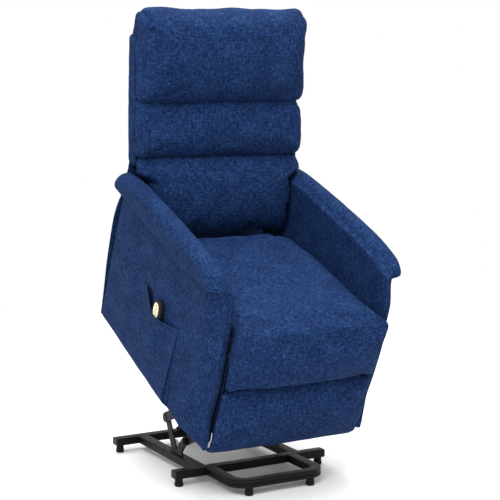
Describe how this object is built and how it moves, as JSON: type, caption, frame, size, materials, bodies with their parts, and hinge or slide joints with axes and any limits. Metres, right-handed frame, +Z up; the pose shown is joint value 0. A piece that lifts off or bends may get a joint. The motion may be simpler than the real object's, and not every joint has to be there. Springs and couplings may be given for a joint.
{
  "type": "lift recliner chair",
  "caption": "Upholstered powered lift recliner on a black steel base, shown raised, with a segmented back, pad-topped arms, side pocket and handset.",
  "frame": {"origin": "on the floor, under the middle of the whole object's box in the raised position", "axes": "+Z up, the sitter faces -Y, +X is the sitter's left"},
  "size_m": [0.656, 0.8538, 1.4395],
  "materials": {
    "cloth": "deep blue heathered linen-look weave",
    "frame_paint": "satin black powder coat",
    "foot_rubber": "moulded black",
    "bright_steel": "bright zinc",
    "timber": "sawn softwood and plywood",
    "black_plastic": "fine grained",
    "cream_keys": "satin"
  },
  "bodies": {
    "base": {"base_front_tube": "frame_paint", "base_rear_tube": "frame_paint", "base_rail_left": "frame_paint", "base_rail_right": "frame_paint", "base_hoop": "frame_paint", "foot_rear_left": "foot_rubber", "foot_rear_right": "foot_rubber", "foot_front_left": "foot_rubber", "foot_front_right": "foot_rubber", "foot_hoop_left": "foot_rubber", "foot_hoop_right": "foot_rubber", "pivot_bracket_left": "frame_paint", "pivot_bracket_right": "frame_paint", "actuator_clevis": "frame_paint"},
    "lift_arms": {"lift_arm_left": "frame_paint", "lift_arm_right": "frame_paint", "lift_torque_tube": "frame_paint"},
    "front_links": {"front_link_left": "frame_paint", "front_link_right": "frame_paint"},
    "actuator_body": {"actuator_motor": "black_plastic", "actuator_sleeve": "black_plastic"},
    "actuator_rod_body": {"actuator_rod": "bright_steel"},
    "chair": {"lift_plate_left": "frame_paint", "lift_plate_right": "frame_paint", "lift_frame_front_tube": "frame_paint", "lift_frame_rear_tube": "frame_paint", "actuator_cross_tube": "frame_paint", "control_box": "black_plastic", "seat_rail_front": "timber", "seat_rail_rear": "timber", "seat_rail_left": "timber", "seat_rail_right": "timber", "seat_spring_1": "bright_steel", "seat_spring_2": "bright_steel", "seat_spring_3": "bright_steel", "side_panel_left": "cloth", "side_panel_right": "cloth", "arm_pad_left": "cloth", "arm_pad_right": "cloth", "side_pocket": "cloth", "seat_cushion": "cloth", "rear_skirt": "cloth"},
    "legrest": {"calf_pad": "cloth", "foot_pad": "cloth", "legrest_board": "timber", "legrest_arm_left": "frame_paint", "legrest_arm_right": "frame_paint"},
    "back": {"back_upright_left": "timber", "back_upright_right": "timber", "back_top_rail": "timber", "back_lower_rail": "timber", "back_shell": "cloth", "back_lower_panel": "cloth", "lumbar_cushion": "cloth", "middle_cushion": "cloth", "head_cushion": "cloth"},
    "handset": {"handset_body": "black_plastic"},
    "raise_key": {"handset_button_raise": "cream_keys"},
    "lower_key": {"handset_button_lower": "cream_keys"}
  },
  "joints": [
    {"name": "lift_lower", "type": "hinge", "parent": "base", "child": "lift_arms", "pos_m": [0, 0.18653, 0.157], "axis": [1, 0, 0], "range_deg": [0, 30.61]},
    {"name": "chair_tilt", "type": "hinge", "parent": "lift_arms", "child": "chair", "pos_m": [0, -0.10291, 0.27659], "axis": [1, 0, 0], "range_deg": [-54.6, 0]},
    {"name": "front_link_swing", "type": "hinge", "parent": "base", "child": "front_links", "pos_m": [0, 0.06653, 0.105], "axis": [1, 0, 0], "range_deg": [0, 25.5]},
    {"name": "actuator_swing", "type": "hinge", "parent": "base", "child": "actuator_body", "pos_m": [0, 0.36653, 0.08], "axis": [1, 0, 0], "range_deg": [0, 23.1]},
    {"name": "actuator_extend", "type": "slide", "parent": "actuator_body", "child": "actuator_rod_body", "axis": [0, -0.7665, 0.6423], "range_m": [-0.1222, 0]},
    {"name": "back_recline", "type": "hinge", "parent": "chair", "child": "back", "pos_m": [0, 0.17469, 0.63745], "axis": [-1, 0, 0], "range_deg": [0, 40]},
    {"name": "legrest_raise", "type": "hinge", "parent": "chair", "child": "legrest", "pos_m": [0, -0.36744, 0.5033], "axis": [-1, 0, 0], "range_deg": [0, 80.2]},
    {"name": "handset_lift_out", "type": "slide", "parent": "chair", "child": "handset", "axis": [0, -0.4051, 0.9143], "range_m": [0, 0.12]},
    {"name": "raise_key_press", "type": "slide", "parent": "handset", "child": "raise_key", "axis": [1, 0, 0], "range_m": [0, 0.0012], "stiffness_N_per_m": 800, "springref_m": -0.0015},
    {"name": "lower_key_press", "type": "slide", "parent": "handset", "child": "lower_key", "axis": [1, 0, 0], "range_m": [0, 0.0012], "stiffness_N_per_m": 800, "springref_m": -0.0015}
  ],
  "couplings": [
    {"joint": "chair_tilt", "follows": "lift_lower", "ratio": -1.7808},
    {"joint": "front_link_swing", "follows": "lift_lower", "ratio": 0.82849},
    {"joint": "actuator_swing", "follows": "lift_lower", "ratio": 0.75041},
    {"joint": "actuator_extend", "follows": "lift_lower", "m_per_rad": -0.22818},
    {"joint": "legrest_raise", "follows": "back_recline", "ratio": 2}
  ]
}
